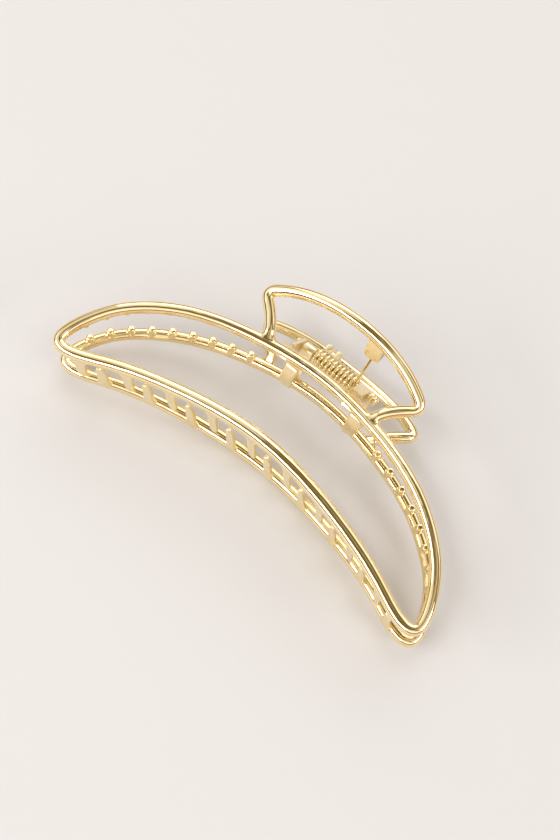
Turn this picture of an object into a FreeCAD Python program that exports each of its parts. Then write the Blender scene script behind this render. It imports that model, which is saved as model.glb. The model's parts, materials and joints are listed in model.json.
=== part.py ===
"""Half-moon metal claw hair clip, closed, lying on its side.

Frame of the finished part: +X runs along the chord of the crescent, +Z is up,
the lower jaw rests on Z = 0, and the origin is the bottom centre of the box.

Everything is first drawn in the clip's own frame: x along the chord, y towards
the thumb loops, z square to the plane between the two jaws. The two jaws are
the same casting: the lower one is the upper one turned half a turn about y.
"""
import FreeCAD, Part
import math
import os
import Sketcher

V = FreeCAD.Vector
Rot = FreeCAD.Rotation
Plc = FreeCAD.Placement

os.makedirs("parts", exist_ok=True)
doc = FreeCAD.newDocument("claw_clip")

# ---------------------------------------------------------------- sizes (mm)
sheet = doc.addObject("Spreadsheet::Sheet", "Sizes")
SIZES = [
    # crescent loop: half of the closed rod centreline, apex to concave middle
    ("loop_apex_y", 21.24), ("loop_apex_z", 7.47),
    ("loop_shoulder_x", 18.0), ("loop_shoulder_y", 19.00), ("loop_shoulder_z", 7.88),
    ("loop_flank_x", 34.0), ("loop_flank_y", 13.58), ("loop_flank_z", 8.45),
    ("loop_bend_x", 45.0), ("loop_bend_y", 6.16), ("loop_bend_z", 7.90),
    ("loop_cheek_x", 51.3), ("loop_cheek_y", -1.81), ("loop_cheek_z", 6.80),
    ("loop_tip_x", 53.75), ("loop_tip_y", -10.70), ("loop_tip_z", 6.10),
    ("loop_heel_x", 50.0), ("loop_heel_y", -11.60), ("loop_heel_z", 6.05),
    ("loop_sole_x", 40.0), ("loop_sole_y", -7.754), ("loop_sole_z", 6.60),
    ("loop_arch_x", 22.0), ("loop_arch_y", -2.57), ("loop_arch_z", 8.26),
    ("loop_crotch_z", 9.71),
    ("outer_rod_radius", 1.52), ("inner_rod_radius", 1.65), ("tip_rod_radius", 1.45),
    # hinge
    ("hinge_y", 27.15), ("pin_radius", 0.80), ("pin_clearance", 0.05),
    ("knuckle_radius", 1.6), ("pin_half_length", 11.6),
    ("pin_head_radius", 1.25), ("pin_head_length", 0.85),
    ("inner_knuckle_start", 6.65), ("inner_knuckle_width", 3.15),
    ("outer_knuckle_start", 10.25), ("outer_knuckle_width", 0.95),
    ("inner_saddle_start", 7.6), ("inner_saddle_width", 3.5),
    ("outer_saddle_start", 8.8), ("outer_saddle_width", 3.5),
    # thumb loop
    ("grip_half_width", 23.476), ("grip_corner_y", 29.24), ("grip_corner_z", 9.41),
    ("grip_apex_y", 34.71), ("grip_apex_z", 15.66), ("grip_bulge", 1.998),
    ("grip_corner_trim", 2.3), ("grip_rod_radius", 1.46), ("leg_rod_radius", 1.46),
    ("leg_upper_x", 20.65), ("leg_upper_y", 26.83), ("leg_upper_z", 9.14),
    ("leg_knee_x", 17.85), ("leg_knee_y", 24.07), ("leg_knee_z", 9.04),
    ("leg_root_x", 15.5), ("leg_flare", 2.45),
    # teeth
    ("tooth_first_x", 42.0), ("tooth_pitch", 11.1), ("tooth_thickness", 1.1),
    ("tooth_overlap", 4.0), ("tooth_clearance", 2.4), ("tooth_front", 1.50),
    # grip pegs
    ("peg_first_x", 19.6), ("peg_pitch", 5.12), ("peg_root_radius", 1.15),
    ("peg_tip_radius", 0.90), ("peg_height", 1.50), ("peg_lean", 8.5),
    # spring
    ("wire_radius", 0.40), ("coil_radius", 2.25), ("coil_half_length", 6.05),
    ("coil_turns", 10.26111), ("leg_length", 12.6), ("leg_angle", 43.0),
    # spring stop
    ("stop_centre_x", 6.2), ("stop_width", 4.3), ("stop_length", 6.2),
    ("stop_thickness", 1.7), ("stop_corner_radius", 1.1), ("stop_lean", 24.0),
    ("fork_width", 1.25), ("fork_end_y", 35.7), ("fork_end_z", 11.3),
]
for row, (name, value) in enumerate(SIZES, 1):
    sheet.set("A%d" % row, name)
    sheet.set("B%d" % row, str(value))
    sheet.setAlias("B%d" % row, name)
doc.recompute()


def size(name):
    return float(sheet.get(name))


# ------------------------------------------------- centreline of the crescent
def loop_curve():
    half = [V(0, size("loop_apex_y"), size("loop_apex_z"))]
    for word in ("shoulder", "flank", "bend", "cheek", "tip", "heel", "sole", "arch"):
        half.append(V(size("loop_%s_x" % word), size("loop_%s_y" % word),
                      size("loop_%s_z" % word)))
    half.append(V(0, 0, size("loop_crotch_z")))
    points = half + [V(-p.x, p.y, p.z) for p in reversed(half[1:-1])]
    knots = [0.0]
    for a, b in zip(points, points[1:] + points[:1]):
        knots.append(knots[-1] + math.sqrt(a.distanceToPoint(b)))
    curve = Part.BSplineCurve()
    curve.interpolate(Points=points, PeriodicFlag=True, Parameters=knots)
    return curve, knots


LOOP, KNOTS = loop_curve()
PERIOD = KNOTS[-1]
TIP_RIGHT = KNOTS[5]
TIP_LEFT = KNOTS[13]


def on_loop(t):
    t = t % PERIOD
    return LOOP.value(t), LOOP.tangent(t)[0]


def stations(start, end, count):
    """Parameters evenly spaced by length along the loop."""
    fine = 600
    ts = [start + (end - start) * i / fine for i in range(fine + 1)]
    run = [0.0]
    last = on_loop(ts[0])[0]
    for t in ts[1:]:
        here = on_loop(t)[0]
        run.append(run[-1] + here.distanceToPoint(last))
        last = here
    out = []
    k = 0
    for i in range(count):
        want = run[-1] * i / (count - 1)
        while k < fine - 1 and run[k + 1] < want:
            k += 1
        part = (want - run[k]) / max(run[k + 1] - run[k], 1e-9)
        out.append((ts[k] + (ts[k + 1] - ts[k]) * part, want / run[-1]))
    return out


def find_on_loop(x, start, end):
    """Parameter on one arc of the loop where the rod is at x."""
    lo, hi = start, end
    rising = on_loop(hi)[0].x > on_loop(lo)[0].x
    for _ in range(60):
        mid = 0.5 * (lo + hi)
        if (on_loop(mid)[0].x < x) == rising:
            lo = mid
        else:
            hi = mid
    return 0.5 * (lo + hi)


def across(point, tangent, upright=V(0, 0, 1)):
    """Placement of a section square to the tangent, its X axis nearest upright."""
    z = V(tangent)
    z.normalize()
    x = upright - z * upright.dot(z)
    x.normalize()
    y = z.cross(x)
    return Plc(point, Rot(x, y, z, "ZXY"))


def add(kind, name):
    obj = doc.addObject(kind, name)
    obj.Label = name
    return obj


def rod(name, sections):
    """Loft through round or oval sections: (placement, radius formula, radius formula)."""
    rings = []
    for i, (place, major, minor) in enumerate(sections):
        if minor is None:
            ring = doc.addObject("Part::Circle", "%s_ring_%d" % (name, i))
            ring.setExpression("Radius", major)
        else:
            ring = doc.addObject("Part::Ellipse", "%s_ring_%d" % (name, i))
            ring.MajorRadius = 5
            ring.setExpression("MajorRadius", major)
            ring.setExpression("MinorRadius", minor)
        ring.Placement = place
        rings.append(ring)
    loft = add("Part::Loft", name)
    loft.Sections = rings
    loft.Solid = True
    loft.Ruled = False
    loft.Closed = False
    return loft


# ------------------------------------------------------------------ the rails
def outer_rail(name):
    rows = []
    for t, s in stations(TIP_LEFT - PERIOD, TIP_RIGHT, 31):
        point, tangent = on_loop(t)
        mix = math.sin(math.pi * min(1.0, max(0.0, s))) ** 0.6
        rows.append((across(point, tangent),
                     "Sizes.tip_rod_radius * %.5f + Sizes.outer_rod_radius * %.5f" % (1 - mix, mix),
                     None))
    return rod(name, rows)


def inner_rail(name):
    rows = []
    for t, s in stations(TIP_RIGHT, TIP_LEFT, 27):
        point, tangent = on_loop(t)
        mix = math.sin(math.pi * min(1.0, max(0.0, s))) ** 0.6
        rows.append((across(point, tangent),
                     "Sizes.tip_rod_radius * %.5f + Sizes.inner_rod_radius * %.5f" % (1 - mix, mix),
                     None))
    return rod(name, rows)


# ------------------------------------------------------------- the thumb loop
def grip_point(s):
    w = size("grip_half_width")
    y = size("grip_apex_y") + (size("grip_corner_y") - size("grip_apex_y")) * s * s \
        - size("grip_bulge") * (s ** 4 - s * s)
    z = size("grip_apex_z") + (size("grip_corner_z") - size("grip_apex_z")) * s * s
    return V(s * w, y, z)


def bezier(points, t):
    pts = list(points)
    while len(pts) > 1:
        pts = [a * (1 - t) + b * t for a, b in zip(pts, pts[1:])]
    return pts[0]


def corner_parts():
    """Right-hand corner of the loop: where the arc ends, the corner, where the leg starts."""
    corner = grip_point(1.0)
    upper = V(size("leg_upper_x"), size("leg_upper_y"), size("leg_upper_z"))
    trim = size("grip_corner_trim")
    s_end = 1.0 - trim / size("grip_half_width")
    down = upper - corner
    down.normalize()
    return grip_point(s_end), corner, corner + down * trim, s_end, upper


def grip_path():
    arc_end, corner, leg_start, s_end, knee = corner_parts()
    right = [grip_point(s_end * i / 9.0) for i in range(10)]
    step = 0.35 / size("grip_half_width")
    out = arc_end - grip_point(s_end - step)
    out.normalize()
    bend = [bezier([arc_end, corner, leg_start], i / 7.0) for i in range(1, 8)]
    half = right + bend
    return [V(-p.x, p.y, p.z) for p in reversed(half[1:])] + half


def tangents(points):
    out = []
    for i in range(len(points)):
        a = points[max(i - 1, 0)]
        b = points[min(i + 1, len(points) - 1)]
        t = b - a
        t.normalize()
        out.append(t)
    return out


def thumb_grip(name):
    pts = grip_path()
    tans = tangents(pts)
    arc_end, corner, leg_start, s_end, knee = corner_parts()
    down = knee - corner
    down.normalize()
    tans[-1] = down
    tans[0] = V(down.x, -down.y, -down.z)
    rows = []
    side = V(0, 1, -0.2)
    last = None
    for p, t in zip(pts, tans):
        # the section's X axis is carried along the path so the skin never twists
        if last is None:
            ref = V(0, 0, 1)
        else:
            ref = last
        place = across(p, t, ref)
        last = place.Rotation.multVec(V(1, 0, 0))
        rows.append((place, "Sizes.grip_rod_radius", None))
    return rod(name, rows)


def through(p0, p1, p2, p3):
    """Control points of the cubic that starts at p0, passes p1 and p2 and ends at p3."""
    a, b, c = p0.distanceToPoint(p1), p1.distanceToPoint(p2), p2.distanceToPoint(p3)
    t1, t2 = a / (a + b + c), (a + b) / (a + b + c)
    r1 = p1 - p0 * (1 - t1) ** 3 - p3 * t1 ** 3
    r2 = p2 - p0 * (1 - t2) ** 3 - p3 * t2 ** 3
    m11, m12 = 3 * (1 - t1) ** 2 * t1, 3 * (1 - t1) * t1 ** 2
    m21, m22 = 3 * (1 - t2) ** 2 * t2, 3 * (1 - t2) * t2 ** 2
    det = m11 * m22 - m12 * m21
    return [p0, (r1 * m22 - r2 * m12) * (1 / det), (r2 * m11 - r1 * m21) * (1 / det), p3]


def leg_points():
    arc_end, corner, leg_start, s_end, upper = corner_parts()
    t = find_on_loop(size("leg_root_x"), 0.0, TIP_RIGHT)
    root, along = on_loop(t)
    knee = V(size("leg_knee_x"), size("leg_knee_y"), size("leg_knee_z"))
    return through(leg_start, upper, knee, root), along


def leg(name, mirror):
    ctrl, along = leg_points()
    rows = []
    steps = [0.0, 0.2, 0.4, 0.55, 0.68, 0.78, 0.85, 0.90, 0.95]
    flare = [0.0, 0.0, 0.0, 0.0, 0.03, 0.13, 0.30, 0.55, 0.95]
    for s, k in zip(steps, flare):
        p = bezier(ctrl, s)
        q = bezier(ctrl, min(s + 0.01, 1.0)) - bezier(ctrl, max(s - 0.01, 0.0))
        if s == 0.0:
            arc_end, corner, leg_start, s_end, kn = corner_parts()
            q = kn - corner
        if mirror:
            p, q, a = V(-p.x, p.y, p.z), V(-q.x, q.y, q.z), V(-along.x, along.y, along.z)
        else:
            a = along
        rows.append((across(p, q, a),
                     "Sizes.grip_rod_radius * %.4f + Sizes.leg_rod_radius * %.4f"
                     " + (Sizes.leg_flare - Sizes.leg_rod_radius) * %.4f"
                     % (max(0.0, 1 - 4 * s) + 0.0005, 1 - max(0.0, 1 - 4 * s), k),
                     "Sizes.grip_rod_radius * %.4f + Sizes.leg_rod_radius * %.4f"
                     % (max(0.0, 1 - 4 * s), 1 - max(0.0, 1 - 4 * s))))
    return rod(name, rows)


def cut(name, base, tool):
    obj = add("Part::Cut", name)
    obj.Base = base
    obj.Tool = tool
    return obj


# ------------------------------------------------------------------ the teeth
def teeth_shape(rail_shape):
    """Nine flat claws, broad where they leave the rail and hooked towards +x at the tip."""
    solids = []
    thick = size("tooth_thickness")
    front = size("tooth_front")
    for k in range(9):
        x = size("tooth_first_x") - size("tooth_pitch") * k
        t = find_on_loop(x, TIP_RIGHT, TIP_LEFT)
        root, along = on_loop(t)
        r = root.z
        tip = -min(size("tooth_overlap"), r - size("tooth_clearance"))
        mid = 0.5 * (r - 2.8 + tip + 2.0)
        rows = [(r - 0.2, -1.95, 1.95), (r - 1.8, -1.5, 1.5), (r - 2.8, -1.12, 1.12),
                (mid, -1.0, 1.0), (tip + 2.0, -0.85, 1.0), (tip + 0.8, -0.35, 0.98), (tip, 0.15, 0.85)]
        slope = along.y / along.x
        wires = []
        for z, left, right in rows:
            corners = [V(x + left, root.y + slope * left - front, z),
                       V(x + right, root.y + slope * right - front, z),
                       V(x + right, root.y + slope * right - front + thick, z),
                       V(x + left, root.y + slope * left - front + thick, z)]
            wires.append(Part.makePolygon(corners + corners[:1]))
        tooth = Part.makeLoft(wires, True, True).cut(rail_shape)
        solids.append(max(tooth.Solids, key=lambda q: q.Volume))
    return Part.makeCompound(solids)


# ------------------------------------------------------------------- the pegs
def peg_shape(rail_shape, sign):
    solids = []
    run = 0.0
    t = find_on_loop(size("peg_first_x"), 0.0, TIP_RIGHT)
    spots = [t]
    last = on_loop(t)[0]
    while len(spots) < 9:
        t += 0.002
        here = on_loop(t)[0]
        run += here.distanceToPoint(last)
        last = here
        if run >= size("peg_pitch"):
            spots.append(t)
            run = 0.0
    for t in spots:
        point, along = on_loop(t)
        lean = math.radians(size("peg_lean"))
        down = V(0, math.sin(lean), -math.cos(lean))
        down = down - along * down.dot(along)
        down.normalize()
        if sign < 0:
            point = V(-point.x, point.y, point.z)
            down = V(-down.x, down.y, down.z)
        top = size("outer_rod_radius") + size("peg_height")
        peg = Part.makeCone(size("peg_root_radius") * 1.08, size("peg_tip_radius"),
                            top - 0.6, point + down * 0.6, down)
        solids.append(max(peg.cut(rail_shape).Solids, key=lambda s: s.CenterOfMass.distanceToPoint(point) ))
    return Part.makeCompound(solids)


# -------------------------------------------------------------- the lug bodies
def plane_of(body, role):
    for f in body.Origin.OriginFeatures:
        if f.Role == role:
            return f
    raise ValueError(role)


def side_sketch(body, name, offset_formula):
    """Sketch in the y-z plane, pushed along x."""
    sk = body.newObject("Sketcher::SketchObject", name)
    sk.AttachmentSupport = [(plane_of(body, "YZ_Plane"), "")]
    sk.MapMode = "FlatFace"
    sk.setExpression("AttachmentOffset.Base.z", offset_formula)
    return sk


def draw_outline(sk, corners):
    n = len(corners)
    for i in range(n):
        a, b = corners[i], corners[(i + 1) % n]
        sk.addGeometry(Part.LineSegment(V(a[0], a[1], 0), V(b[0], b[1], 0)), False)
    for i in range(n):
        sk.addConstraint(Sketcher.Constraint("Coincident", i, 2, (i + 1) % n, 1))


def lug(name, rail, which, sign):
    """Saddle on the rail, arm and knuckle with the pin bore.

    which is inner or outer; sign +1 stands at +x, -1 at -x.
    """
    hy = size("hinge_y")
    kr = size("knuckle_radius")
    rail_t = find_on_loop(sign * 10.0, TIP_LEFT - PERIOD, TIP_RIGHT)
    rail_at = on_loop(rail_t)[0]
    ry, rz = rail_at.y, rail_at.z
    body = doc.addObject("PartDesign::Body", name + "_body")
    if sign > 0:
        saddle_from = "Sizes.%s_saddle_start" % which
        knuckle_from = "Sizes.%s_knuckle_start" % which
    else:
        saddle_from = "-Sizes.%s_saddle_start - Sizes.%s_saddle_width" % (which, which)
        knuckle_from = "-Sizes.%s_knuckle_start - Sizes.%s_knuckle_width" % (which, which)
    # saddle block round the rail and the thick part of the arm, clear of the knuckles
    sk = side_sketch(body, name + "_saddle_sketch", saddle_from)
    draw_outline(sk, [(ry - 1.85, rz + 0.3), (ry - 1.3, rz - 1.6), (ry + 0.7, rz - 4.7),
                      (ry + 1.5, rz - 5.3), (ry + 3.45, rz - 3.95), (ry + 2.2, rz - 0.3),
                      (ry + 1.2, rz + 0.4), (ry - 0.3, rz + 1.1), (ry - 1.2, rz + 0.75)])
    pad = body.newObject("PartDesign::Pad", name + "_saddle")
    pad.Profile = sk
    pad.setExpression("Length", "Sizes.%s_saddle_width" % which)
    # knuckle and the thin part of the arm
    arm = body.newObject("Sketcher::SketchObject", name + "_arm_sketch")
    arm.AttachmentSupport = [(plane_of(body, "YZ_Plane"), "")]
    arm.MapMode = "FlatFace"
    arm.setExpression("AttachmentOffset.Base.z", knuckle_from)
    ux, uy = hy - ry, -rz
    ln = math.hypot(ux, uy)
    ux, uy = ux / ln, uy / ln
    nx, ny = -uy, ux
    a = (hy + nx * kr, ny * kr)
    b = (hy - nx * kr, -ny * kr)
    c = (b[0] - ux * 6.2, b[1] - uy * 6.2)
    d = (a[0] - ux * 6.2, a[1] - uy * 6.2)
    mid = (hy + ux * kr, uy * kr)
    arm.addGeometry(Part.Arc(V(a[0], a[1], 0), V(mid[0], mid[1], 0), V(b[0], b[1], 0)), False)
    arm.addGeometry(Part.LineSegment(V(b[0], b[1], 0), V(c[0], c[1], 0)), False)
    arm.addGeometry(Part.LineSegment(V(c[0], c[1], 0), V(d[0], d[1], 0)), False)
    arm.addGeometry(Part.LineSegment(V(d[0], d[1], 0), V(a[0], a[1], 0)), False)
    arm.addGeometry(Part.Circle(V(hy, 0, 0), V(0, 0, 1),
                                size("pin_radius") + size("pin_clearance")), False)
    bore = arm.addConstraint(Sketcher.Constraint(
        "Radius", 4, size("pin_radius") + size("pin_clearance")))
    arm.setExpression("Constraints[%d]" % bore, "Sizes.pin_radius + Sizes.pin_clearance")
    pad2 = body.newObject("PartDesign::Pad", name + "_arm")
    pad2.Profile = arm
    pad2.setExpression("Length", "Sizes.%s_knuckle_width" % which)
    doc.recompute()
    return cut(name, body, rail)


# ------------------------------------------------------------ the spring stop
def spring_stop(name, grip):
    s = size("stop_centre_x") / size("grip_half_width")
    g = grip_point(s)
    lean = math.radians(size("stop_lean"))
    dy, dz = -math.sin(lean), -math.cos(lean)
    ny, nz = -dz, dy
    half = size("stop_thickness") / 2
    length = size("stop_length")
    body = doc.addObject("PartDesign::Body", name + "_body")
    sk = side_sketch(body, name + "_sketch", "Sizes.stop_centre_x - Sizes.stop_width / 2")
    draw_outline(sk, [(g.y + ny * half, g.z + nz * half),
                      (g.y - ny * half, g.z - nz * half),
                      (g.y - ny * half + dy * length, g.z - nz * half + dz * length),
                      (g.y + ny * half + dy * length, g.z + nz * half + dz * length)])
    pad = body.newObject("PartDesign::Pad", name + "_pad")
    pad.Profile = sk
    pad.setExpression("Length", "Sizes.stop_width")
    doc.recompute()
    # the two free corners of the tab are rounded
    end = V(0, g.y + dy * length, g.z + dz * length)
    names = []
    for i, e in enumerate(pad.Shape.Edges, 1):
        m = e.CenterOfMass
        if abs(e.Length - size("stop_thickness")) < 0.01 and \
                V(0, m.y, m.z).distanceToPoint(end) < 0.1:
            names.append("Edge%d" % i)
    fil = body.newObject("PartDesign::Fillet", name + "_round")
    fil.Base = (pad, names)
    fil.setExpression("Radius", "Sizes.stop_corner_radius")
    # two prongs on the back of the tab keep the end of the spring wire between them
    fy, fz = size("fork_end_y"), size("fork_end_z")
    prong = [(g.y - ny * half + dy * length + 0.25 * ny, g.z - nz * half + dz * length + 0.25 * nz),
             (fy - 0.8, fz - 1.3), (fy, fz), (g.y + 0.35, g.z - 0.6), (g.y - 0.3, g.z - 0.9)]
    for tag, start in (("left", "Sizes.stop_centre_x - Sizes.stop_width / 2"),
                       ("right", "Sizes.stop_centre_x + Sizes.stop_width / 2 - Sizes.fork_width")):
        sk = side_sketch(body, "%s_%s_prong_sketch" % (name, tag), start)
        draw_outline(sk, prong)
        pad = body.newObject("PartDesign::Pad", "%s_%s_prong" % (name, tag))
        pad.Profile = sk
        pad.setExpression("Length", "Sizes.fork_width")
    doc.recompute()
    return cut(name, body, grip)


# ------------------------------------------------------------------- one jaw
def jaw(side):
    made = {}
    outer = outer_rail(side + "_outer_rail_loft")
    inner = inner_rail(side + "_toothed_rail_loft")
    grip = thumb_grip(side + "_thumb_grip_loft")
    for word, loft in (("outer_rail", outer), ("toothed_rail", inner), ("thumb_grip", grip)):
        bar = add("Part::Refine", "%s_%s" % (side, word))
        bar.Source = loft
        made["%s_%s" % (side, word)] = bar
    doc.recompute()
    for hand, mirror in (("left", True), ("right", False)):
        raw = leg("%s_%s_grip_leg_raw" % (side, hand), mirror)
        made["%s_%s_grip_leg" % (side, hand)] = cut("%s_%s_grip_leg" % (side, hand), raw, outer)
    made[side + "_inner_lug"] = lug(side + "_inner_lug", outer, "inner", +1)
    made[side + "_outer_lug"] = lug(side + "_outer_lug", outer, "outer", -1)
    made[side + "_spring_stop"] = spring_stop(side + "_spring_stop", grip)
    doc.recompute()
    teeth = add("Part::Feature", side + "_teeth")
    teeth.Shape = teeth_shape(inner.Shape)
    made[side + "_teeth"] = teeth
    for hand, sign in (("left", -1), ("right", +1)):
        pegs = add("Part::Feature", "%s_%s_pegs" % (side, hand))
        pegs.Shape = peg_shape(outer.Shape, sign)
        made["%s_%s_pegs" % (side, hand)] = pegs
    return made


upper = jaw("upper")
lower = jaw("lower")

# ------------------------------------------------------------- the hinge pin
pin = doc.addObject("PartDesign::Body", "hinge_pin")
pin.Label = "hinge_pin"
psk = pin.newObject("Sketcher::SketchObject", "pin_profile")
psk.AttachmentSupport = [(plane_of(pin, "XY_Plane"), "")]
psk.MapMode = "FlatFace"
L = size("pin_half_length")
r = size("pin_radius")
hr = size("pin_head_radius")
hl = size("pin_head_length")
outline = [(-L - hl, 0), (-L - hl, hr * 0.72), (-L - hl * 0.72, hr), (-L - 0.02, hr), (-L - 0.02, r),
           (L + 0.02, r), (L + 0.02, hr), (L + hl * 0.72, hr), (L + hl, hr * 0.72), (L + hl, 0)]
draw_outline(psk, outline)
rev = pin.newObject("PartDesign::Revolution", "pin_turned")
rev.Profile = psk
rev.ReferenceAxis = (plane_of(pin, "X_Axis"), [""])
rev.Angle = 360
doc.recompute()


# ------------------------------------------------------------ torsion spring
def spring_points():
    """Coil round the pin with one straight leg per jaw, alike under a half turn."""
    turns = size("coil_turns")
    cr = size("coil_radius")
    half = size("coil_half_length")
    hy = size("hinge_y")
    lean = math.radians(size("leg_angle"))
    end_angle = lean + math.pi / 2
    # the coil turns so that its wire runs into the leg along the leg's own line
    mid_angle = end_angle + turns * math.pi
    pts = []
    n = int(turns * 18 / 2) * 2
    for i in range(n // 2, n + 1):
        f = (i - n / 2) / (n / 2)
        ang = mid_angle - f * turns * math.pi
        x = half * f
        # the last half turn runs flat so the leg leaves square to the axis
        pts.append(V(x, hy + cr * math.cos(ang), cr * math.sin(ang)))
    last = pts[-1]
    d = V(0, math.cos(lean), math.sin(lean))
    length = size("leg_length")
    for i in range(1, 9):
        s = length * i / 8.0
        drift = 0.12 * (s / length) ** 2
        pts.append(last + d * s + V(drift, 0, 0))
    other = [V(-p.x, p.y, -p.z) for p in reversed(pts)]
    if pts[0].distanceToPoint(other[-1]) < 0.05:
        other = other[:-1]
    return other + pts


def spring_shape():
    pts = spring_points()
    curve = Part.BSplineCurve()
    curve.interpolate(pts)
    spine = Part.Wire([curve.toShape()])
    start = curve.value(curve.FirstParameter)
    tan = curve.tangent(curve.FirstParameter)[0]
    ring = Part.Wire([Part.makeCircle(size("wire_radius"), start, tan)])
    shell = Part.BRepOffsetAPI.MakePipeShell(spine)
    shell.setBiNormalMode(V(1, 0, 0))
    shell.add(ring)
    shell.build()
    shell.makeSolid()
    return shell.shape()


spring = add("Part::Feature", "torsion_spring")
spring.Shape = spring_shape()

# ------------------------------------------------------------------ placing
half_turn = Plc(V(0, 0, 0), Rot(V(0, 1, 0), 180))
pin_home = Plc(V(0, size("hinge_y"), 0), Rot())
every = {}
every.update({k: (o, Plc()) for k, o in upper.items()})
every.update({k: (o, half_turn) for k, o in lower.items()})
every["hinge_pin"] = (pin, pin_home)
every["torsion_spring"] = (spring, Plc())

# the clip lies on the lower jaw: tilt until grip and toothed rail are level
low_pts = []
for key in ("lower_thumb_grip", "lower_toothed_rail"):
    o = every[key][0]
    verts = o.Shape.tessellate(0.02)[0]
    low_pts.append([half_turn.multVec(v) for v in verts])


def lowest(points, tilt):
    c, s = math.cos(tilt), math.sin(tilt)
    return min(p.y * s + p.z * c for p in points)


lo, hi = 0.0, 0.5
for _ in range(50):
    mid = 0.5 * (lo + hi)
    if lowest(low_pts[0], mid) < lowest(low_pts[1], mid):
        lo = mid
    else:
        hi = mid
tilt = Plc(V(0, 0, 0), Rot(V(1, 0, 0), math.degrees(0.5 * (lo + hi))))

box = FreeCAD.BoundBox()
for key, (o, local) in every.items():
    full = tilt.multiply(local)
    for v in o.Shape.tessellate(0.02)[0]:
        box.add(full.multVec(v))
shift = Plc(V(-box.Center.x, -box.Center.y, -box.ZMin), Rot())
row = shift.multiply(tilt)

for key, (o, local) in every.items():
    o.Placement = row.multiply(local)
doc.recompute()
for key, (o, local) in every.items():
    o.Placement = row.multiply(local)

# ------------------------------------------------------------------- checks
for obj in doc.Objects:
    bad = [s for s in obj.State if s in ("Invalid", "Error")]
    if bad:
        raise RuntimeError("%s: %s" % (obj.Name, obj.State))
total = 0.0
for key, (o, local) in sorted(every.items()):
    s = o.Shape
    if s.isNull() or not s.isValid():
        raise RuntimeError("bad shape: " + key)
    if not s.Solids:
        raise RuntimeError("no solid: " + key)
    total += s.Volume
    print("%-26s solids %2d  volume %8.2f mm3" % (key, len(s.Solids), s.Volume))
print("nodes %d, volume %.1f mm3" % (len(every), total))
print("tilt %.3f deg, shift %s" % (math.degrees(0.5 * (lo + hi)), shift.Base))
hinge = row.multVec(V(0, size("hinge_y"), 0))
print("hinge at %s" % hinge)
print("box %.3f x %.3f x %.3f mm" % (box.XLength, box.YLength, box.ZLength))
for key, (o, local) in every.items():
    o.Shape.exportStep("parts/%s.step" % key)
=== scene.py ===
import bpy, bmesh, json, math
import numpy as np
from mathutils import Vector, Matrix


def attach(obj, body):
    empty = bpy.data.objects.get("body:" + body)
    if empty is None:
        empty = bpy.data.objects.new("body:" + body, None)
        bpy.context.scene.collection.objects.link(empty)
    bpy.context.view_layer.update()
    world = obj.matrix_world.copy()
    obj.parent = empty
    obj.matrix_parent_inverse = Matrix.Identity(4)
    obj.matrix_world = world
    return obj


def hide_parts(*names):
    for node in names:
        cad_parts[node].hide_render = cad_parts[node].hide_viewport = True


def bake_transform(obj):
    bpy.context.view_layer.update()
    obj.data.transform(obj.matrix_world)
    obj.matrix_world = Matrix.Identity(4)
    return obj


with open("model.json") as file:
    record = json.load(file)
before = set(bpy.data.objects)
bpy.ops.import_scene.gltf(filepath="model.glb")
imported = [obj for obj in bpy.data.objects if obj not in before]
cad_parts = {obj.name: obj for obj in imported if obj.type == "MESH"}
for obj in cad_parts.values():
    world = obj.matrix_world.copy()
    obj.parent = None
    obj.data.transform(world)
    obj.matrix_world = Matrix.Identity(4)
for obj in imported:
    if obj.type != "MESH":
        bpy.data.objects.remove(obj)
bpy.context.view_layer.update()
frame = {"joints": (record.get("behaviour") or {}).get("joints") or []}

MM = 0.001

# ---------------------------------------------------------------- the row frame
# Shapes are written in the clip's own frame (mm): x along the chord, y towards
# the thumb loops, z square to the plane between the jaws. The row frame is that
# one tilted about x until the clip rests on the floor.
HY = 27.15
joint = frame["joints"][0]
hinge = [a * 1000 for a in joint["pos_m"]]
TILT = math.radians(9.418)
CT, ST = math.cos(TILT), math.sin(TILT)
SHIFT = np.array([0.0, hinge[1] - HY * CT, hinge[2] - HY * ST])


def row(p):
    p = np.asarray(p, float)
    out = np.empty_like(p)
    out[..., 0] = p[..., 0]
    out[..., 1] = p[..., 1] * CT - p[..., 2] * ST
    out[..., 2] = p[..., 1] * ST + p[..., 2] * CT
    return (out + SHIFT) * MM


def row_dir(p):
    p = np.asarray(p, float)
    out = np.empty_like(p)
    out[..., 0] = p[..., 0]
    out[..., 1] = p[..., 1] * CT - p[..., 2] * ST
    out[..., 2] = p[..., 1] * ST + p[..., 2] * CT
    return out


def place(p, side):
    """Clip-frame points of the upper jaw, or turned half a turn for the lower."""
    p = np.asarray(p, float)
    if side == "lower":
        p = p * np.array([-1.0, 1.0, -1.0])
    return row(p)


# ------------------------------------------------------------ crescent centreline
APEX = (0, 21.24, 7.47)
HALF = [APEX, (18.0, 19.00, 7.88), (34.0, 13.58, 8.45), (45.0, 6.16, 7.90), (51.3, -1.81, 6.80),
        (53.75, -10.70, 6.10), (50.0, -11.60, 6.05), (40.0, -7.754, 6.60), (22.0, -2.57, 8.26),
        (0, 0, 9.71)]
PTS = np.array(HALF + [(-x, y, z) for x, y, z in reversed(HALF[1:-1])], float)
N = len(PTS)
CHORD = np.sqrt(np.linalg.norm(np.roll(PTS, -1, 0) - PTS, axis=1))
KN = np.concatenate([[0.0], np.cumsum(CHORD)])
PERIOD = KN[-1]
TIP_R, TIP_L = KN[5], KN[13]


def periodic_cubic(y, h):
    n = len(y)
    A = np.zeros((n, n))
    b = np.zeros((n, 3))
    for i in range(n):
        hm, hi = h[i - 1], h[i]
        A[i, i - 1] += hm
        A[i, i] += 2 * (hm + hi)
        A[i, (i + 1) % n] += hi
        b[i] = 6 * ((y[(i + 1) % n] - y[i]) / hi - (y[i] - y[i - 1]) / hm)
    return np.linalg.solve(A, b)


M2 = periodic_cubic(PTS, CHORD)


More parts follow.
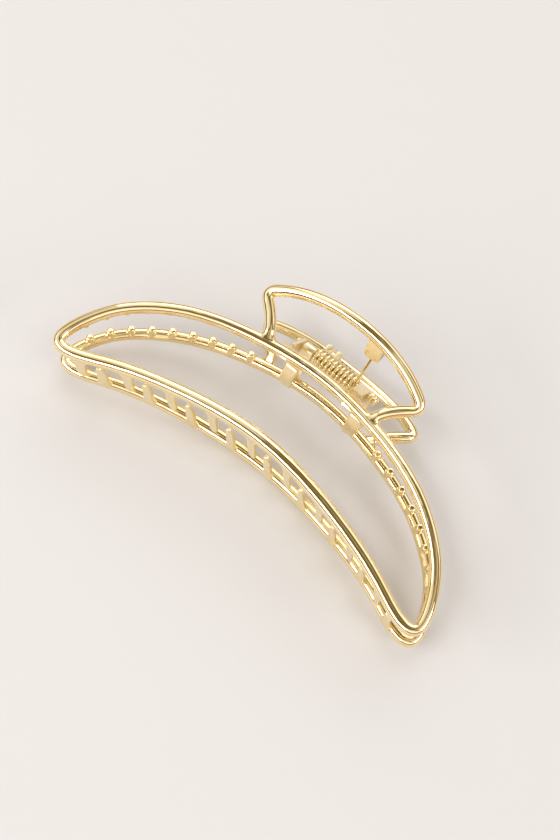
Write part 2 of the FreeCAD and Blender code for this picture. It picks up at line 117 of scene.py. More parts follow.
def on_loop(t):
    t = np.mod(np.atleast_1d(np.asarray(t, float)), PERIOD)
    k = np.clip(np.searchsorted(KN, t, side="right") - 1, 0, N - 1)
    h = CHORD[k][:, None]
    a = (KN[k + 1] - t)[:, None]
    b = (t - KN[k])[:, None]
    y0, y1 = PTS[k], PTS[(k + 1) % N]
    m0, m1 = M2[k], M2[(k + 1) % N]
    p = m0 * a ** 3 / (6 * h) + m1 * b ** 3 / (6 * h) + (y0 / h - m0 * h / 6) * a + (y1 / h - m1 * h / 6) * b
    d = -m0 * a ** 2 / (2 * h) + m1 * b ** 2 / (2 * h) + (y1 - y0) / h - (m1 - m0) * h / 6
    d /= np.linalg.norm(d, axis=1)[:, None]
    return p, d


def by_length(start, end, count):
    t = np.linspace(start, end, 1500)
    p, _ = on_loop(t)
    s = np.concatenate([[0], np.cumsum(np.linalg.norm(np.diff(p, axis=0), axis=1))])
    return np.interp(np.linspace(0, s[-1], count), s, t)


def loop_at_x(x, start, end):
    lo, hi = start, end
    rising = on_loop(hi)[0][0, 0] > on_loop(lo)[0][0, 0]
    for _ in range(60):
        mid = 0.5 * (lo + hi)
        if (on_loop(mid)[0][0, 0] < x) == rising:
            lo = mid
        else:
            hi = mid
    return 0.5 * (lo + hi)


# ------------------------------------------------------------------ mesh helpers
def unit(v):
    v = np.asarray(v, float)
    return v / np.maximum(np.linalg.norm(v, axis=-1, keepdims=True), 1e-12)


def mesh_object(name, verts, faces, smooth=True, normals=None):
    me = bpy.data.meshes.new(name)
    me.from_pydata([tuple(v) for v in verts], [], [tuple(int(i) for i in f) for f in faces])
    me.validate(clean_customdata=False)
    bm = bmesh.new()
    bm.from_mesh(me)
    bmesh.ops.recalc_face_normals(bm, faces=bm.faces)
    bm.to_mesh(me)
    bm.free()
    for poly in me.polygons:
        poly.use_smooth = smooth
    obj = bpy.data.objects.new(name, me)
    bpy.context.scene.collection.objects.link(obj)
    return obj


def rings_to_mesh(rings, closed=False, caps=True):
    """rings: (n, m, 3) points; quads between neighbours, ends closed by a fan."""
    n, m = rings.shape[:2]
    verts = rings.reshape(-1, 3)
    faces = []
    last = n if closed else n - 1
    for i in range(last):
        a, b = i * m, ((i + 1) % n) * m
        for j in range(m):
            k = (j + 1) % m
            faces.append((a + j, a + k, b + k, b + j))
    if caps and not closed:
        verts = np.concatenate([verts, rings[0].mean(0)[None], rings[-1].mean(0)[None]])
        c0, c1 = n * m, n * m + 1
        for j in range(m):
            k = (j + 1) % m
            faces.append((c0, k, j))
            faces.append((c1, (n - 1) * m + j, (n - 1) * m + k))
    return verts, faces


def carried(points, first, closed=False):
    """Tangents and a pair of axes carried along a path without twisting."""
    d = np.gradient(points, axis=0)
    t = unit(d)
    x = np.zeros_like(points)
    ref = np.asarray(first, float)
    for i in range(len(points)):
        ref = ref - t[i] * np.dot(ref, t[i])
        ref = ref / np.linalg.norm(ref)
        x[i] = ref
    return t, x, np.cross(t, x)


def tube_rings(points, radius, m, first=(0, 0, 1)):
    t, x, y = carried(points, first)
    r = np.broadcast_to(np.asarray(radius, float), (len(points),))
    ang = np.arange(m) * 2 * math.pi / m
    return points[:, None, :] + r[:, None, None] * (
        np.cos(ang)[None, :, None] * x[:, None, :] + np.sin(ang)[None, :, None] * y[:, None, :])


def join_parts(parts):
    verts, faces, base = [], [], 0
    for v, f in parts:
        verts.append(np.asarray(v))
        faces += [tuple(base + i for i in q) for q in f]
        base += len(v)
    return np.concatenate(verts), faces


# --------------------------------------------------------------------- materials
def new_material(name):
    mat = bpy.data.materials.new(name)
    mat.use_nodes = True
    nt = mat.node_tree
    nt.nodes.clear()
    out = nt.nodes.new("ShaderNodeOutputMaterial")
    bsdf = nt.nodes.new("ShaderNodeBsdfPrincipled")
    nt.links.new(bsdf.outputs["BSDF"], out.inputs["Surface"])
    return mat, nt, bsdf


def gold(name, light, deep, rough_low, rough_high, bump, wave_scale, grain_scale, grain, coat=0.0):
    """Plated casting: faint colour drift, uneven polish, low casting waves and fine grain."""
    mat, nt, bsdf = new_material(name)
    bsdf.inputs["Metallic"].default_value = 1.0
    coord = nt.nodes.new("ShaderNodeTexCoord")
    drift = nt.nodes.new("ShaderNodeTexNoise")
    drift.inputs["Scale"].default_value = 140.0
    drift.inputs["Detail"].default_value = 3.0
    nt.links.new(coord.outputs["Object"], drift.inputs["Vector"])
    ramp = nt.nodes.new("ShaderNodeValToRGB")
    ramp.color_ramp.elements[0].position = 0.35
    ramp.color_ramp.elements[0].color = (*deep, 1)
    ramp.color_ramp.elements[1].position = 0.68
    ramp.color_ramp.elements[1].color = (*light, 1)
    nt.links.new(drift.outputs["Fac"], ramp.inputs["Fac"])
    nt.links.new(ramp.outputs["Color"], bsdf.inputs["Base Color"])
    polish = nt.nodes.new("ShaderNodeTexNoise")
    polish.inputs["Scale"].default_value = 420.0
    polish.inputs["Detail"].default_value = 4.0
    nt.links.new(coord.outputs["Object"], polish.inputs["Vector"])
    span = nt.nodes.new("ShaderNodeMapRange")
    span.inputs["From Min"].default_value = 0.3
    span.inputs["From Max"].default_value = 0.7
    span.inputs["To Min"].default_value = rough_low
    span.inputs["To Max"].default_value = rough_high
    nt.links.new(polish.outputs["Fac"], span.inputs["Value"])
    nt.links.new(span.outputs["Result"], bsdf.inputs["Roughness"])
    waves = nt.nodes.new("ShaderNodeTexNoise")
    waves.inputs["Scale"].default_value = wave_scale
    waves.inputs["Detail"].default_value = 1.0
    nt.links.new(coord.outputs["Object"], waves.inputs["Vector"])
    b1 = nt.nodes.new("ShaderNodeBump")
    b1.inputs["Strength"].default_value = bump
    b1.inputs["Distance"].default_value = 0.0004
    nt.links.new(waves.outputs["Fac"], b1.inputs["Height"])
    fine = nt.nodes.new("ShaderNodeTexNoise")
    fine.inputs["Scale"].default_value = grain_scale
    fine.inputs["Detail"].default_value = 3.0
    nt.links.new(coord.outputs["Object"], fine.inputs["Vector"])
    b2 = nt.nodes.new("ShaderNodeBump")
    b2.inputs["Strength"].default_value = grain
    b2.inputs["Distance"].default_value = 0.00004
    nt.links.new(fine.outputs["Fac"], b2.inputs["Height"])
    nt.links.new(b1.outputs["Normal"], b2.inputs["Normal"])
    nt.links.new(b2.outputs["Normal"], bsdf.inputs["Normal"])
    return mat


POLISHED = gold("polished_gold", (0.96, 0.82, 0.52), (0.93, 0.76, 0.43), 0.045, 0.085, 0.20, 260.0, 2600.0, 0.03)
SATIN = gold("satin_gold", (0.98, 0.87, 0.60), (0.96, 0.83, 0.53), 0.26, 0.38, 0.22, 500.0, 3500.0, 0.24)
WIRE = gold("wire_gold", (0.96, 0.83, 0.53), (0.92, 0.77, 0.44), 0.08, 0.14, 0.04, 800.0, 4000.0, 0.04)
SLOT = {"polished_gold": "polished_gold_casting", "satin_gold": "satin_gold_casting"}


def finish_piece(obj, body, mat, nodes):
    obj.data.materials.clear()
    obj.data.materials.append(mat)
    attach(obj, body)
    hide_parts(*nodes)
    return obj


# ------------------------------------------------------------------------- rails
R_OUT, R_IN, R_TIP = 1.52, 1.65, 1.45


def rail_radius(s, r):
    mix = np.sin(np.pi * np.clip(s, 0, 1)) ** 0.6
    return R_TIP * (1 - mix) + r * mix


def rail(side, outer):
    if outer:
        t = by_length(TIP_L - PERIOD, TIP_R, 260)
        name, r = side + "_outer_rail", R_OUT
    else:
        t = by_length(TIP_R, TIP_L, 240)
        name, r = side + "_toothed_rail", R_IN
    p, d = on_loop(t)
    s = np.linspace(0, 1, len(t))
    # rings are square to the loop, their first axis nearest the clip's z
    x = unit(np.array([0, 0, 1.0]) - d * d[:, 2:3])
    y = np.cross(d, x)
    m = 40
    ang = np.arange(m) * 2 * math.pi / m
    rr = rail_radius(s, r)[:, None, None]
    rings = p[:, None] + rr * (np.cos(ang)[None, :, None] * x[:, None] + np.sin(ang)[None, :, None] * y[:, None])
    verts, faces = rings_to_mesh(rings)
    normals = np.concatenate([
        (np.cos(ang)[None, :, None] * x[:, None] + np.sin(ang)[None, :, None] * y[:, None]).reshape(-1, 3),
        -d[:1], d[-1:]])
    if side == "lower":
        normals = normals * np.array([-1.0, 1.0, -1.0])
    obj = mesh_object(name + "_bar", place(verts, side), faces)
    obj.data.normals_split_custom_set_from_vertices([tuple(v) for v in row_dir(normals)])
    finish_piece(obj, side + "_jaw", POLISHED, [name])
    return obj


# -------------------------------------------------------------------- thumb loop
GW, GCY, GCZ, GAY, GAZ, GB = 23.476, 29.24, 9.41, 34.71, 15.66, 1.998
TRIM, R_GRIP, R_LEG = 2.3, 1.46, 1.46
UPPER = np.array([20.65, 26.83, 9.14])
KNEE = np.array([17.85, 24.07, 9.04])
ROOT_X = 15.5


def grip_point(s):
    s = np.asarray(s, float)
    return np.stack([s * GW, GAY + (GCY - GAY) * s * s - GB * (s ** 4 - s * s), GAZ + (GCZ - GAZ) * s * s], -1)


def bezier(ctrl, t):
    ctrl = [np.asarray(c, float) for c in ctrl]
    t = np.asarray(t, float)[:, None]
    pts = [np.broadcast_to(c, (len(t), 3)) for c in ctrl]
    while len(pts) > 1:
        pts = [a * (1 - t) + b * t for a, b in zip(pts, pts[1:])]
    return pts[0]


def through(p0, p1, p2, p3):
    """Control points of the cubic that starts at p0, passes p1 and p2 and ends at p3."""
    a, b, c = np.linalg.norm(p1 - p0), np.linalg.norm(p2 - p1), np.linalg.norm(p3 - p2)
    t1, t2 = a / (a + b + c), (a + b) / (a + b + c)
    r1 = p1 - p0 * (1 - t1) ** 3 - p3 * t1 ** 3
    r2 = p2 - p0 * (1 - t2) ** 3 - p3 * t2 ** 3
    m = np.array([[3 * (1 - t1) ** 2 * t1, 3 * (1 - t1) * t1 ** 2], [3 * (1 - t2) ** 2 * t2, 3 * (1 - t2) * t2 ** 2]])
    q = np.linalg.solve(m, np.stack([r1, r2]))
    return [p0, q[0], q[1], p3]


def thumb_and_legs(side):
    corner = grip_point(1.0)
    down = unit(UPPER - corner)
    s_end = 1.0 - TRIM / GW
    leg_start = corner + down * TRIM
    troot = loop_at_x(ROOT_X, 0.0, TIP_R)
    root, along = on_loop(troot)
    root, along = root[0], along[0]
    arc = grip_point(np.linspace(0, s_end, 80))
    bend = bezier([grip_point(s_end), corner, leg_start], np.linspace(0, 1, 22)[1:])
    ctrl = through(leg_start, UPPER, KNEE, root)
    leg = bezier(ctrl, np.linspace(0, 1, 60)[1:])
    half = np.concatenate([arc, bend, leg])
    mirror = np.array([-1.0, 1, 1])
    full = np.concatenate([(half[1:] * mirror)[::-1], half])
    # even spacing keeps the reflections calm
    s = np.concatenate([[0], np.cumsum(np.linalg.norm(np.diff(full, axis=0), axis=1))])
    even = np.linspace(0, s[-1], 420)
    path = np.stack([np.interp(even, s, full[:, k]) for k in range(3)], 1)
    for _ in range(6):
        path[1:-1] = 0.25 * path[:-2] + 0.5 * path[1:-1] + 0.25 * path[2:]
    total = s[-1]
    leg_len = np.linalg.norm(np.diff(np.concatenate([[leg_start], leg]), axis=0), axis=1).sum()
    # trim so that the tube stops a fillet's height above the rail
    fillet = 1.15
    stop = (R_OUT + fillet + 0.12)
    dist_end = np.linalg.norm(path - root, axis=1)
    dist_start = np.linalg.norm(path - root * mirror, axis=1)
    keep = (dist_end > stop) & (dist_start > stop)
    path = path[keep]
    q = np.minimum(even[keep], total - even[keep])
    radius = R_LEG + (R_GRIP - R_LEG) * np.clip((q - leg_len * 0.75) / (leg_len * 0.25), 0, 1)
    m = 32
    t, x, y = carried(path, (0, 1, 0))
    ang = np.arange(m) * 2 * math.pi / m
    rings = path[:, None] + radius[:, None, None] * (
        np.cos(ang)[None, :, None] * x[:, None] + np.sin(ang)[None, :, None] * y[:, None])

    def flare(ring, centre, outward, c_root, c_along):
        """Rings that spread the leg's end onto the rail like a cast fillet."""
        axis = unit(c_root - centre)
        rel = ring - centre
        out = []
        ux = unit(c_along)                       # along the rail
        toward = unit(centre - c_root - ux * np.dot(centre - c_root, ux))
        uy = unit(np.cross(ux, toward))          # round the rail
        target = []
        ctrl_pts = []
        for v in rel:
            a, b = np.dot(v, ux), np.dot(v, uy)
            k = math.hypot(a, b)
            grow = (k + fillet) / k
            aa, bb = a * grow, b * grow
            phi = max(-1.15, min(1.15, bb / R_OUT * 0.92))
            shift = np.dot(centre - c_root, ux) * 0.25
            target.append(c_root + ux * (aa + shift) + (R_OUT - 0.02) * (math.cos(phi) * toward + math.sin(phi) * uy))
            phi0 = max(-1.0, min(1.0, b / R_OUT))
            ctrl_pts.append(c_root + ux * (a + shift * 0.8) + (R_OUT + 0.08) * (math.cos(phi0) * toward + math.sin(phi0) * uy))
        target, ctrl_pts = np.array(target), np.array(ctrl_pts)
        for f in np.linspace(0, 1, 12)[1:]:
            out.append((1 - f) ** 2 * ring + 2 * f * (1 - f) * ctrl_pts + f * f * target)
        # last ring sinks into the rail so that no edge shows
        out.append(c_root + (target - c_root) * 0.80)
        return np.array(out)

    tail = flare(rings[-1], path[-1], t[-1], root, along)
    head = flare(rings[0], path[0], -t[0], root * mirror, along * mirror)[::-1]
    # split at the loop's two corners into grip and legs
    run = np.concatenate([[0], np.cumsum(np.linalg.norm(np.diff(path, axis=0), axis=1))])
    i_r = int(np.argmin(np.linalg.norm(path - leg_start, axis=1)))
    i_l = int(np.argmin(np.linalg.norm(path - leg_start * mirror, axis=1)))
    radial = np.cos(ang)[None, :, None] * x[:, None] + np.sin(ang)[None, :, None] * y[:, None]

    def build(name, node, all_rings, fixed):
        verts, faces = rings_to_mesh(all_rings)
        obj = mesh_object(name, place(verts, side), faces)
        me = obj.data
        nrm = np.zeros(len(me.vertices) * 3)
        me.vertices.foreach_get("normal", nrm)
        nrm = nrm.reshape(-1, 3)
        for index, value in fixed:
            value = row_dir(value * (np.array([-1.0, 1, -1]) if side == "lower" else 1.0))
            nrm[index * m:(index + 1) * m] = value
        me.normals_split_custom_set_from_vertices([tuple(v) for v in nrm])
        finish_piece(obj, side + "_jaw", POLISHED, [node])
        return obj

    grip = rings[i_l:i_r + 1]
    build(side + "_thumb_grip_bar", side + "_thumb_grip", grip, [(0, radial[i_l]), (len(grip) - 1, radial[i_r])])
    right = np.concatenate([rings[i_r:], tail])
    build(side + "_right_grip_leg_bar", side + "_right_grip_leg", right, [(0, radial[i_r])])
    left = np.concatenate([head, rings[:i_l + 1]])
    build(side + "_left_grip_leg_bar", side + "_left_grip_leg", left, [(len(left) - 1, radial[i_l])])


# ------------------------------------------------------------------------- teeth
def rounded_section(w, h, r, k=4):
    """Closed outline of a rounded rectangle, half sizes w and h."""
    r = min(r, w * 0.98, h * 0.98)
    pts = []
    for cx, cy, a0 in ((w - r, h - r, 0), (-w + r, h - r, 90), (-w + r, -h + r, 180), (w - r, -h + r, 270)):
        for i in range(k + 1):
            a = math.radians(a0 + 90 * i / k)
            pts.append((cx + r * math.cos(a), cy + r * math.sin(a)))
    return np.array(pts)


def smooth_rows(rows, zs):
    """Left and right edges of a tooth at heights zs, eased through the given rows."""
    rows = np.array(rows)[::-1]
    left = np.interp(zs, rows[:, 0], rows[:, 1])
    right = np.interp(zs, rows[:, 0], rows[:, 2])
    for _ in range(5):
        left[1:-1] = 0.25 * left[:-2] + 0.5 * left[1:-1] + 0.25 * left[2:]
        right[1:-1] = 0.25 * right[:-2] + 0.5 * right[1:-1] + 0.25 * right[2:]
    return left, right


def teeth(side):
    """Nine flat claws, broad where they leave the rail and hooked towards +x at the tip."""
    parts = []
    thick, front = 1.1, 1.50
    for kk in range(9):
        x0 = 42.0 - 11.1 * kk
        t = loop_at_x(x0, TIP_R, TIP_L)
        root, along = on_loop(t)
        root, along = root[0], along[0]
        r = root[2]
        tip = -min(4.0, r - 2.4)
        mid = 0.5 * (r - 2.8 + tip + 2.0)
        plan = [(r - 0.2, -1.95, 1.95), (r - 1.8, -1.5, 1.5), (r - 2.8, -1.12, 1.12),
                (mid, -1.0, 1.0), (tip + 2.0, -0.85, 1.0), (tip + 0.8, -0.35, 0.98), (tip, 0.15, 0.85)]
        slope = along[1] / along[0]
        zs = np.linspace(r - 0.2, tip, 44)
        left, right = smooth_rows(plan, zs)
        rows = []
        for i, z in enumerate(zs):
            c, w = 0.5 * (left[i] + right[i]), 0.5 * (right[i] - left[i])
            h = thick / 2
            below = (z - tip)
            if below < 0.5:
                f = math.sqrt(max(1 - ((0.5 - below) / 0.5) ** 2, 0.0))
                w = w * (0.30 + 0.70 * f)
                h = h * (0.55 + 0.45 * f)
            sec = rounded_section(w, h, 0.20)
            px = x0 + c + sec[:, 0]
            py = root[1] + slope * (c + sec[:, 0]) - front + thick / 2 + sec[:, 1]
            rows.append(np.stack([px, py, np.full(len(sec), z)], 1))
        parts.append(rings_to_mesh(np.array(rows)))
    verts, faces = join_parts(parts)
    obj = mesh_object(side + "_teeth_row", place(verts, side), faces)
    finish_piece(obj, side + "_jaw", SATIN, [side + "_teeth"])


# -------------------------------------------------------------------------- pegs
def pegs(side, hand):
    sign = -1 if hand == "left" else 1
    ts = [loop_at_x(19.6, 0.0, TIP_R)]
    fine = np.linspace(ts[0], TIP_R, 4000)
    p, _ = on_loop(fine)
    s = np.concatenate([[0], np.cumsum(np.linalg.norm(np.diff(p, axis=0), axis=1))])
    ts = [float(np.interp(5.12 * i, s, fine)) for i in range(9)]
    parts = []
    m = 24
    ang = np.arange(m) * 2 * math.pi / m
    for t in ts:
        point, along = on_loop(t)
        point, along = point[0], along[0]
        lean = math.radians(8.5)
        down = np.array([0, math.sin(lean), -math.cos(lean)])
        down = unit(down - along * np.dot(down, along))
        if sign < 0:
            point, down, along = point * [-1, 1, 1], down * [-1, 1, 1], along * [-1, 1, 1]
        side_axis = np.cross(down, along)
        top = R_OUT + 1.50
        # profile: fillet off the rail, waist, rounded free end
        prof = [(0.75, 1.35), (1.0, 1.35), (1.2, 1.33), (1.38, 1.26), (1.55, 1.16), (1.75, 1.08), (2.1, 1.03),
                (2.4, 1.01), (2.62, 0.96), (2.78, 0.88), (2.90, 0.76), (2.97, 0.58), (3.0, 0.32), (3.0, 0.10)]
        rings = []
        for h, r in prof:
            k = top / 3.0
            rings.append(point + down * h * k + r * (np.cos(ang)[:, None] * along + np.sin(ang)[:, None] * side_axis))
        parts.append(rings_to_mesh(np.array(rings)))
    verts, faces = join_parts(parts)
    obj = mesh_object("%s_%s_peg_row" % (side, hand), place(verts, side), faces)
    finish_piece(obj, side + "_jaw", POLISHED, ["%s_%s_pegs" % (side, hand)])


# -------------------------------------------------------------- solid cast blocks
def prism(outline, x0, x1):
    o = np.asarray(outline, float)
    a = np.stack([np.full(len(o), x0), o[:, 0], o[:, 1]], 1)
    b = np.stack([np.full(len(o), x1), o[:, 0], o[:, 1]], 1)
    n = len(o)
    faces = [tuple(range(n)), tuple(range(2 * n - 1, n - 1, -1))]
    for i in range(n):
        j = (i + 1) % n
        faces.append((i, n + i, n + j, j))
    return np.concatenate([a, b]), faces


def soften(obj, width, segments=3, angle=28):
    mod = obj.modifiers.new("edges", "BEVEL")
    mod.width = width
    mod.segments = segments
    mod.limit_method = "ANGLE"
    mod.angle_limit = math.radians(angle)
    mod.use_clamp_overlap = True
    bpy.context.view_layer.update()
    dg = bpy.context.evaluated_depsgraph_get()
    me = bpy.data.meshes.new_from_object(obj.evaluated_get(dg))
    obj.modifiers.clear()
    obj.data = me
    for poly in me.polygons:
        poly.use_smooth = True
    # keep the flats flat: normals weighted by face size
    mod = obj.modifiers.new("flats", "WEIGHTED_NORMAL")
    mod.keep_sharp = False
    mod.weight = 80
    dg = bpy.context.evaluated_depsgraph_get()
    me = bpy.data.meshes.new_from_object(obj.evaluated_get(dg))
    obj.modifiers.clear()
    obj.data = me
    return obj


def merge(name, objs):
    bm = bmesh.new()
    for o in objs:
        bm.from_mesh(o.data)
    me = bpy.data.meshes.new(name)
    bm.to_mesh(me)
    bm.free()
    return me


def join_objects(name, objs):
    bpy.ops.object.select_all(action="DESELECT")
    for o in objs:
        o.select_set(True)
    bpy.context.view_layer.objects.active = objs[0]
    bpy.ops.object.join()
    objs[0].name = name
    objs[0].data.name = name
    return objs[0]


def lug(side, which, sign):
    name = "%s_%s_lug" % (side, which)
    kr = 1.6
    pts = on_loop(loop_at_x(sign * 10.0, TIP_L - PERIOD, TIP_R))[0][0]
    ry, rz = pts[1], pts[2]
    start = {"inner": 7.6, "outer": 8.8}[which]
    width = 3.5
    kstart = {"inner": 6.65, "outer": 10.25}[which]
    kwidth = {"inner": 3.15, "outer": 0.95}[which]
    x0, x1 = (start, start + width) if sign > 0 else (-start - width, -start)
    k0, k1 = (kstart, kstart + kwidth) if sign > 0 else (-kstart - kwidth, -kstart)
    out = [(ry - 1.85, rz + 0.3), (ry - 1.3, rz - 1.6), (ry + 0.7, rz - 4.7),
           (ry + 1.5, rz - 5.3), (ry + 3.45, rz - 3.95), (ry + 2.2, rz - 0.3),
           (ry + 1.2, rz + 0.4), (ry - 0.3, rz + 1.1), (ry - 1.2, rz + 0.75)]
    v, f = prism(out, x0, x1)
    saddle = mesh_object(name + "_saddle", place(v, side), f)
    soften(saddle, 0.00035, 3)
    # arm and knuckle, star shaped round the pin, bridged to the bore
    ux, uz = HY - ry, -rz
    ln = math.hypot(ux, uz)
    ux, uz = ux / ln, uz / ln
    base = math.atan2(uz, ux)
    arc = [(HY + kr * math.cos(base + a), kr * math.sin(base + a)) for a in np.linspace(math.pi / 2, -math.pi / 2, 33)]
    b, a = arc[-1], arc[0]
    c = (b[0] - ux * 6.2, b[1] - uz * 6.2)
    d = (a[0] - ux * 6.2, a[1] - uz * 6.2)
    side1 = [(b[0] + (c[0] - b[0]) * q, b[1] + (c[1] - b[1]) * q) for q in (0.06, 0.13, 0.21, 0.31, 0.44, 0.6, 0.8, 1.0)]
    end = [(c[0] + (d[0] - c[0]) * q, c[1] + (d[1] - c[1]) * q) for q in (0.25, 0.5, 0.75, 1.0)]
    side2 = [(d[0] + (a[0] - d[0]) * q, d[1] + (a[1] - d[1]) * q) for q in (0.2, 0.4, 0.56, 0.69, 0.79, 0.87, 0.94)]
    outer = np.array(arc + side1 + end + side2)
    theta = np.arctan2(outer[:, 1], outer[:, 0] - HY)
    bore = np.stack([HY + 0.85 * np.cos(theta), 0.85 * np.sin(theta)], 1)
    n = len(outer)
    ch = 0.16
    centre = np.array([HY, 0.0])
    inset = outer - unit(outer - centre) * ch
    wide = bore + unit(bore - centre) * 0.10

    def loop(o, x):
        return np.stack([np.full(n, x), o[:, 0], o[:, 1]], 1)
    loops = np.array([loop(bore, k0 + 0.1), loop(wide, k0), loop(inset, k0), loop(outer - unit(outer - centre) * ch * 0.3, k0 + ch * 0.3),
                      loop(outer, k0 + ch), loop(outer, k1 - ch), loop(outer - unit(outer - centre) * ch * 0.3, k1 - ch * 0.3),
                      loop(inset, k1), loop(wide, k1), loop(bore, k1 - 0.1)])
    v, f = rings_to_mesh(loops, closed=True)
    arm = mesh_object(name + "_arm", place(v, side), f)
    soften(arm, 0.00004, 1, 40)
    obj = join_objects(name + "_cast", [saddle, arm])
    finish_piece(obj, side + "_jaw", SATIN, [name])


def stop(side):
    name = side + "_spring_stop"
    cx, w, length, th = 6.2, 4.3, 6.2, 1.7
    g = grip_point(cx / GW)
    lean = math.radians(24.0)
    dy, dz = -math.sin(lean), -math.cos(lean)
    ny, nz = -dz, dy
    half = th / 2
    # tab: outline in its own plane (across x, down the lean) with rounded free corners
    rc = 1.1
    flat = [(cx - w / 2, 0.0)]
    for i in range(9):
        a = math.radians(180 - 90 * i / 8)
        flat.append((cx - w / 2 + rc + rc * math.cos(a), length - rc + rc * math.sin(a)))
    for i in range(9):
        a = math.radians(90 - 90 * i / 8)
        flat.append((cx + w / 2 - rc + rc * math.cos(a), length - rc + rc * math.sin(a)))
    flat.append((cx + w / 2, 0.0))
    front = np.array([(x, g[1] + ny * half + dy * s, g[2] + nz * half + dz * s) for x, s in flat])
    back = np.array([(x, g[1] - ny * half + dy * s, g[2] - nz * half + dz * s) for x, s in flat])
    n = len(flat)
    faces = [tuple(range(n)), tuple(range(2 * n - 1, n - 1, -1))] + [(i, n + i, n + (i + 1) % n, (i + 1) % n) for i in range(n)]
    tab = mesh_object(name + "_tab", place(np.concatenate([front, back]), side), faces)
    soften(tab, 0.00030, 3)
    prong = [(g[1] - ny * half + dy * length + 0.25 * ny, g[2] - nz * half + dz * length + 0.25 * nz),
             (34.9, 10.0), (35.7, 11.3), (g[1] + 0.35, g[2] - 0.6), (g[1] - 0.3, g[2] - 0.9)]
    objs = [tab]
    for x0 in (cx - w / 2, cx + w / 2 - 1.25):
        v, f = prism(prong, x0, x0 + 1.25)
        o = mesh_object(name + "_prong", place(v, side), f)
        soften(o, 0.00028, 3)
        objs.append(o)
    obj = join_objects(name + "_cast", objs)
    finish_piece(obj, side + "_jaw", SATIN, [name])


# ------------------------------------------------------------------- pin, spring
def pin():
    L, r, hr, hl = 11.6, 0.80, 1.25, 0.85
    prof = [(-L - hl, 0.0), (-L - hl, 0.30), (-L - hl * 0.97, 0.55), (-L - hl * 0.88, 0.82), (-L - hl * 0.70, 1.05),
            (-L - hl * 0.45, 1.19), (-L - hl * 0.2, hr), (-L - 0.05, hr), (-L - 0.02, hr - 0.03), (-L - 0.02, r),
            (-L + 0.03, r)]
    full = prof + [(-x, q) for x, q in reversed(prof)]
    m = 36
    ang = np.arange(m) * 2 * math.pi / m
    rings = [np.stack([np.full(m, x), HY + q * np.cos(ang), q * np.sin(ang)], 1) for x, q in full if q > 0]
    v, f = rings_to_mesh(np.array(rings))
    obj = mesh_object("hinge_pin_rod", row(v), f)
    soften(obj, 0.00002, 1, 50)
    finish_piece(obj, "lower_jaw", WIRE, ["hinge_pin"])


def spring():
    turns, cr, half, wr = 10.26111, 2.25, 6.05, 0.40
    length = 12.6
    lean = math.radians(43.0)
    end_angle = lean + math.pi / 2
    mid = end_angle + turns * math.pi
    pts = []
    n = 420
    for i in range(n + 1):
        f = i / n
        a = mid - f * turns * math.pi
        pts.append((half * f, HY + cr * math.cos(a), cr * math.sin(a)))
    last = np.array(pts[-1])
    d = np.array([0, math.cos(lean), math.sin(lean)])
    for s in np.linspace(0, length, 50)[1:]:
        drift = 0.12 * (s / length) ** 2
        pts.append(tuple(last + d * s + np.array([drift, 0, 0])))
    pts = np.array(pts)
    other = (pts * np.array([-1.0, 1, -1]))[::-1]
    path = np.concatenate([other[:-1], pts])
    rings = tube_rings(path, wr, 14, (1, 0, 0))
    # cut ends are slightly rounded
    t0, t1 = unit(path[0] - path[1]), unit(path[-1] - path[-2])
    e0 = path[0] + (rings[0] - path[0]) * 0.72 + t0 * 0.09
    e1 = path[-1] + (rings[-1] - path[-1]) * 0.72 + t1 * 0.09
    rings = np.concatenate([[e0], rings, [e1]])
    v, f = rings_to_mesh(rings)
    obj = mesh_object("torsion_spring_wire", row(v), f)
    obj.data.materials.append(WIRE)
    tuple(row(np.array([-5.7, HY, 0.0])))
    tuple(row(np.array([5.7, HY, 0.0])))
    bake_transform(obj)
    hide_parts("torsion_spring")


for side in ("upper", "lower"):
    rail(side, True)
    rail(side, False)
    thumb_and_legs(side)
    teeth(side)
    for hand in ("left", "right"):
        pegs(side, hand)
    lug(side, "inner", +1)
    lug(side, "outer", -1)
    stop(side)
pin()
spring()

# -------------------------------------------------------------------------- floor
def floor():
    me = bpy.data.meshes.new("floor")
    s = 2.5
    me.from_pydata([(-s, -s, 0), (s, -s, 0), (s, s, 0), (-s, s, 0)], [], [(0, 1, 2, 3)])
    obj = bpy.data.objects.new("floor", me)
    bpy.context.scene.collection.objects.link(obj)
    obj.location.z = -0.00002
    mat, nt, bsdf = new_material("pale_floor")
    bsdf.inputs["Base Color"].default_value = (0.69, 0.675, 0.685, 1)
    bsdf.inputs["Roughness"].default_value = 0.55
    bsdf.inputs["Specular IOR Level"].default_value = 0.3
    me.materials.append(mat)


floor()


# ------------------------------------------------------------------------- lights
def area(name, loc, target, size, energy, color=(1, 1, 1)):
    data = bpy.data.lights.new(name, "AREA")
    data.shape = "RECTANGLE"
    data.size, data.size_y = size
    data.energy = energy
    data.color = color
    obj = bpy.data.objects.new(name, data)
    bpy.context.scene.collection.objects.link(obj)
    obj.location = loc
    direction = Vector(target) - Vector(loc)
    obj.rotation_euler = direction.to_track_quat("-Z", "Y").to_euler()
    return obj


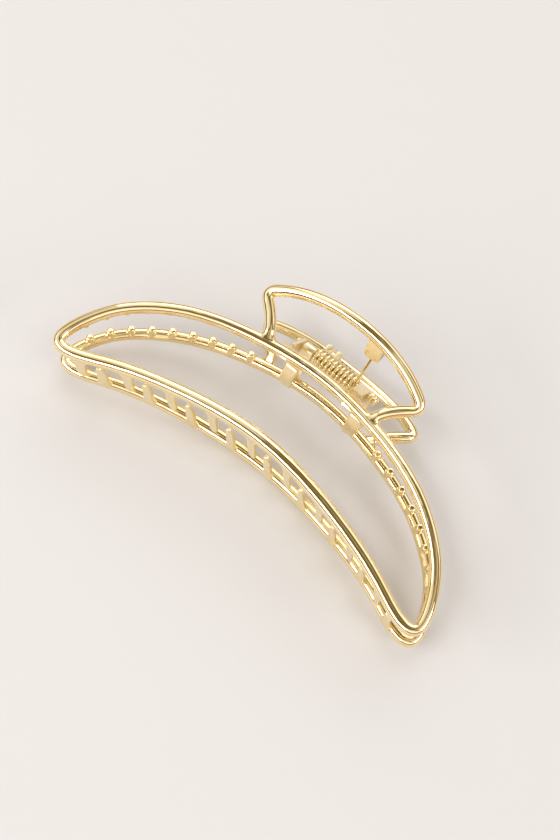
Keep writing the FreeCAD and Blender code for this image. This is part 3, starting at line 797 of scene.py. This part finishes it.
world = bpy.data.worlds.new("studio")
bpy.context.scene.world = world
world.use_nodes = True
wn = world.node_tree
wn.nodes.clear()
wout = wn.nodes.new("ShaderNodeOutputWorld")
wbg = wn.nodes.new("ShaderNodeBackground")
wtc = wn.nodes.new("ShaderNodeTexCoord")
wsep = wn.nodes.new("ShaderNodeSeparateXYZ")
wramp = wn.nodes.new("ShaderNodeValToRGB")
wn.links.new(wtc.outputs["Generated"], wsep.inputs["Vector"])
wn.links.new(wsep.outputs["Z"], wramp.inputs["Fac"])
cr = wramp.color_ramp
cr.elements[0].position = 0.0
cr.elements[0].color = (0.62, 0.27, 0.08, 1)
cr.elements[1].position = 1.0
cr.elements[1].color = (0.80, 0.77, 0.72, 1)
for pos, col in ((0.08, (0.55, 0.19, 0.03, 1)), (0.14, (0.40, 0.14, 0.02, 1)), (0.18, (0.09, 0.07, 0.03, 1)), (0.25, (0.12, 0.10, 0.06, 1)),
                 (0.32, (0.85, 0.84, 0.82, 1)), (0.60, (1.0, 1.0, 1.0, 1)), (0.80, (0.70, 0.66, 0.58, 1)), (0.92, (0.62, 0.57, 0.48, 1))):
    e = cr.elements.new(pos)
    e.color = col
# dark corners of the studio, which the polished rods pick up as olive and amber streaks
wnoise = wn.nodes.new("ShaderNodeTexNoise")
wnoise.inputs["Scale"].default_value = 1.6
wnoise.inputs["Detail"].default_value = 1.0
wn.links.new(wtc.outputs["Generated"], wnoise.inputs["Vector"])
wdark = wn.nodes.new("ShaderNodeValToRGB")
wdark.color_ramp.elements[0].position = 0.37
wdark.color_ramp.elements[0].color = (0.22, 0.18, 0.10, 1)
wdark.color_ramp.elements[1].position = 0.46
wdark.color_ramp.elements[1].color = (1, 1, 1, 1)
wn.links.new(wnoise.outputs["Fac"], wdark.inputs["Fac"])
wmix = wn.nodes.new("ShaderNodeMix")
wmix.data_type = "RGBA"
wmix.blend_type = "MULTIPLY"
wmix.inputs["Factor"].default_value = 1.0
wn.links.new(wramp.outputs["Color"], wmix.inputs[6])
wn.links.new(wdark.outputs["Color"], wmix.inputs[7])
wn.links.new(wmix.outputs[2], wbg.inputs["Color"])
wbg.inputs["Strength"].default_value = 1.30
wn.links.new(wbg.outputs["Background"], wout.inputs["Surface"])

area("key_window", (-0.55, 0.75, 0.95), (0, 0, 0.01), (1.3, 0.9), 5.0, (1.0, 0.99, 0.98))
area("front_window", (-0.45, -0.95, 0.62), (0, 0, 0.01), (1.2, 0.34), 9.0, (1.0, 0.99, 0.98))
area("side_window", (1.05, 0.10, 0.60), (0, 0, 0.01), (0.7, 0.30), 3.5, (1.0, 0.99, 0.98))

# ------------------------------------------------------------------------- camera
RV = np.array([[0.764697881, 0.644381230, 0.003159194],
               [0.607428986, -0.719192213, -0.337331570],
               [-0.215098065, 0.259875723, -0.941380599]])
TV = np.array([-4.075397824, 7.893067861, 350.647111889])
# y of the fitted view points down, so the camera's up is minus its second row
eye = -RV.T @ TV
# the fit's z axis points away from the viewer along +third row
right, up_dir, back = row_dir(RV[0]), row_dir(-RV[1]), row_dir(-RV[2])
cam_data = bpy.data.cameras.new("camera")
cam_data.sensor_fit = "VERTICAL"
cam_data.sensor_height = 24.0
cam_data.lens = 24.0 * 1500.0 / 840.0
cam_data.clip_start = 0.01
cam_data.clip_end = 20.0
cam = bpy.data.objects.new("camera", cam_data)
bpy.context.scene.collection.objects.link(cam)
e = row(eye)
mat = Matrix(((right[0], up_dir[0], back[0], e[0]),
              (right[1], up_dir[1], back[1], e[1]),
              (right[2], up_dir[2], back[2], e[2]),
              (0, 0, 0, 1)))
cam.matrix_world = mat
bpy.context.scene.camera = cam
bpy.context.scene.view_settings.view_transform = "Standard"
